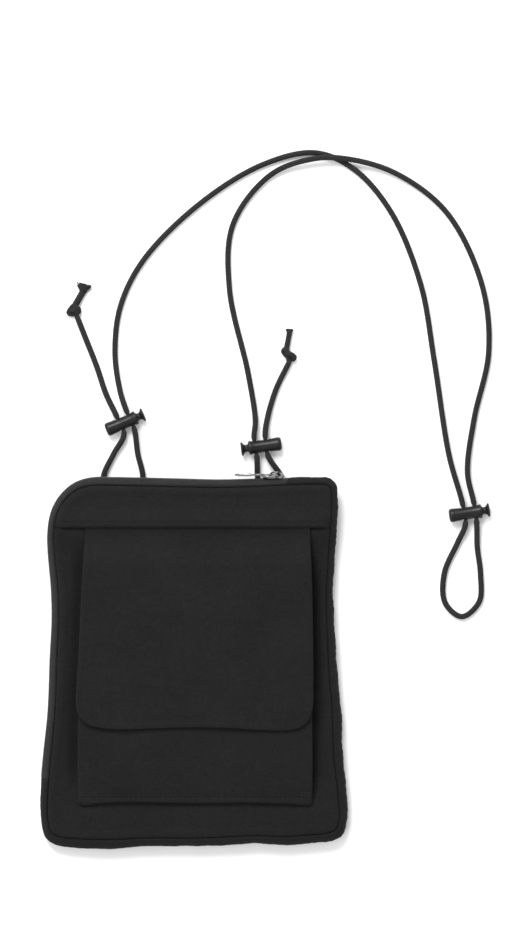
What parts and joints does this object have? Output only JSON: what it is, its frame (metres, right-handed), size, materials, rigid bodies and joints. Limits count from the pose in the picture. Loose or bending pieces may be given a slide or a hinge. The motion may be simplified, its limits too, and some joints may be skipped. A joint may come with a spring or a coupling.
{
  "type": "neck pouch wallet",
  "caption": "Flat padded travel pouch with a zip round its top and side, a flap over a bellows pocket, and a round neck cord with cord locks.",
  "frame": {"origin": "under the middle of the pouch's outline, on the surface that its back lies on", "axes": "+Z out of the front of the pouch, +Y towards the neck cord along the pouch's height, +X to the right of somebody looking at the front"},
  "size_m": [0.2363, 0.3651, 0.0204],
  "materials": {
    "shell_fabric": "matt woven nylon",
    "lining_fabric": "smooth lining",
    "zip_tape": "woven tape",
    "zip_coil": "nylon coil",
    "webbing": "woven webbing",
    "hook_and_loop": "hook and loop",
    "cord": "braided polyester",
    "lock_plastic": "satin moulded",
    "nickel": "bright plated",
    "spring_steel": "drawn wire"
  },
  "bodies": {
    "pouch": {"back_panel": "shell_fabric", "front_panel": "shell_fabric", "front_yoke": "shell_fabric", "gusset": "shell_fabric", "zip_tape_back": "zip_tape", "zip_tape_front": "zip_tape", "zip_coil_back": "zip_coil", "zip_coil_front": "zip_coil", "zip_top_stop_back": "nickel", "zip_top_stop_front": "nickel", "zip_bottom_stop": "zip_coil", "loop_patch": "hook_and_loop", "pocket_front": "shell_fabric", "pocket_bellows_left": "shell_fabric", "pocket_bellows_right": "shell_fabric", "pocket_binding": "webbing", "keeper_left": "webbing", "keeper_right": "webbing", "cord_neck": "cord", "cord_tail_left": "cord", "cord_tail_right": "cord", "cord_knot_left": "cord", "cord_knot_right": "cord"},
    "flap": {"flap_outer": "shell_fabric", "flap_lining": "lining_fabric", "hook_patch": "hook_and_loop"},
    "slider": {"zip_slider": "nickel"},
    "pull": {"zip_pull": "nickel"},
    "lock_left": {"lock_left_barrel": "lock_plastic", "lock_left_spring": "spring_steel"},
    "button_left": {"lock_left_plunger": "lock_plastic"},
    "lock_right": {"lock_right_barrel": "lock_plastic", "lock_right_spring": "spring_steel"},
    "button_right": {"lock_right_plunger": "lock_plastic"},
    "lock_neck": {"lock_neck_barrel": "lock_plastic", "lock_neck_spring": "spring_steel"},
    "button_neck": {"lock_neck_plunger": "lock_plastic"}
  },
  "joints": [
    {"name": "flap_hinge", "type": "hinge", "parent": "pouch", "child": "flap", "pos_m": [0, 0.0701, 0.0164], "axis": [-1, 0, 0], "range_deg": [0, 150]},
    {"name": "zip_slide", "type": "slide", "parent": "pouch", "child": "slider", "axis": [-1, 0, 0], "range_m": [0, 0.088]},
    {"name": "pull_swing", "type": "hinge", "parent": "slider", "child": "pull", "pos_m": [0.0429, 0.0976, 0.01], "axis": [0, 0, -1], "range_deg": [0, 180]},
    {"name": "lock_left_slide", "type": "slide", "parent": "pouch", "child": "lock_left", "axis": [-0.3875, 0.9219, 0], "range_m": [-0.0012, 0.0012]},
    {"name": "button_left_press", "type": "slide", "parent": "lock_left", "child": "button_left", "axis": [-0.9219, -0.3875, 0], "range_m": [0, 0.0012], "stiffness_N_per_m": 400, "deforming": ["lock_left_spring"]},
    {"name": "lock_right_slide", "type": "slide", "parent": "pouch", "child": "lock_right", "axis": [-0.1374, 0.9905, 0], "range_m": [-0.0012, 0.0012]},
    {"name": "button_right_press", "type": "slide", "parent": "lock_right", "child": "button_right", "axis": [0.9905, 0.1374, 0], "range_m": [0, 0.0012], "stiffness_N_per_m": 400, "deforming": ["lock_right_spring"]},
    {"name": "lock_neck_slide", "type": "slide", "parent": "pouch", "child": "lock_neck", "axis": [-0.1478, 0.989, 0], "range_m": [-0.0012, 0.0012]},
    {"name": "button_neck_press", "type": "slide", "parent": "lock_neck", "child": "button_neck", "axis": [-0.989, -0.1478, 0], "range_m": [0, 0.0012], "stiffness_N_per_m": 400, "deforming": ["lock_neck_spring"]}
  ]
}
